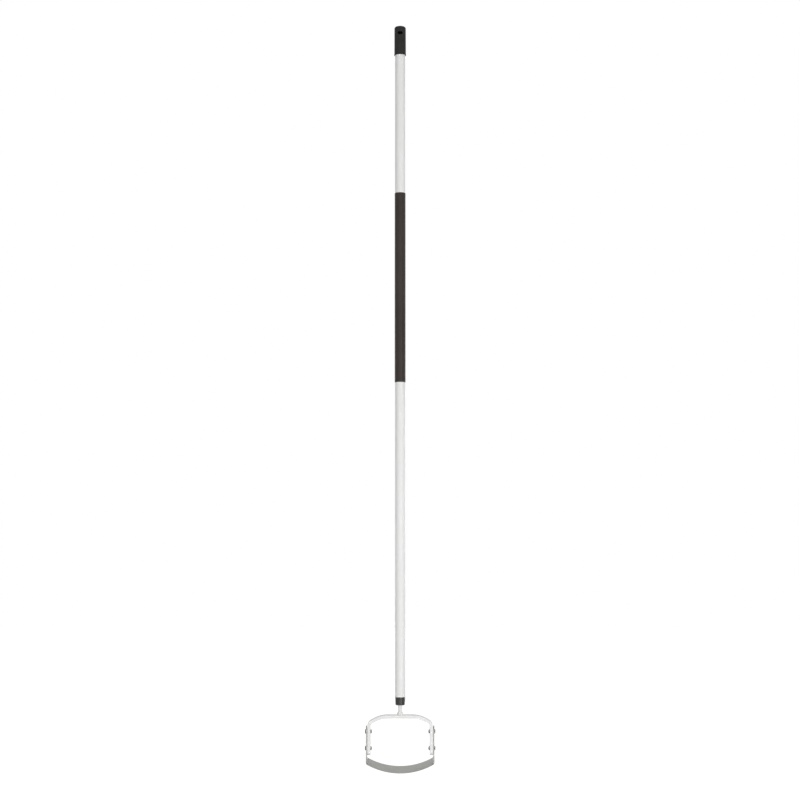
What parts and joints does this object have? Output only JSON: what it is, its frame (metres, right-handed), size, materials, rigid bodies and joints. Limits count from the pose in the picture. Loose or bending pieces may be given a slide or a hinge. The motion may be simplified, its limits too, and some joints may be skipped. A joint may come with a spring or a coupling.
{
  "type": "stirrup hoe",
  "caption": "Long straight-shafted stirrup hoe: tube shaft with end cap and grip, flat-bar bow, and a strap blade that swings on its screws.",
  "frame": {"origin": "centre of the hang hole in the end cap, on the shaft's axis", "axes": "+Z along the shaft towards the end cap, X along the pivot axis across the blade, -Y towards the blade's lower edge"},
  "size_m": [0.149, 0.026, 1.6232],
  "materials": {
    "shaft_coating": "satin",
    "white_paint": "satin",
    "black_plastic": "satin",
    "grip_rubber": "matte",
    "blade_steel": "satin",
    "dark_steel": "satin",
    "plated_steel": "satin"
  },
  "bodies": {
    "handle": {"shaft_tube": "shaft_coating", "end_cap": "black_plastic", "grip_sleeve": "grip_rubber", "collar": "black_plastic", "stem": "white_paint", "stem_plug": "black_plastic", "stem_retainer": "dark_steel", "weld_fillet": "white_paint", "bow": "white_paint", "pivot_screw_left": "dark_steel", "pivot_screw_right": "dark_steel", "stop_screw_left": "dark_steel", "stop_screw_right": "dark_steel", "pivot_bush_left": "dark_steel", "pivot_bush_right": "dark_steel", "stop_bush_left": "dark_steel", "stop_bush_right": "dark_steel", "pivot_nut_left": "plated_steel", "pivot_nut_right": "plated_steel", "stop_nut_left": "plated_steel", "stop_nut_right": "plated_steel"},
    "swinging_blade": {"blade": "blade_steel"}
  },
  "joints": [
    {"name": "blade_swing", "type": "hinge", "parent": "handle", "child": "swinging_blade", "pos_m": [0, 0, -1.52], "axis": [1, 0, 0], "range_deg": [-8, 8]}
  ]
}
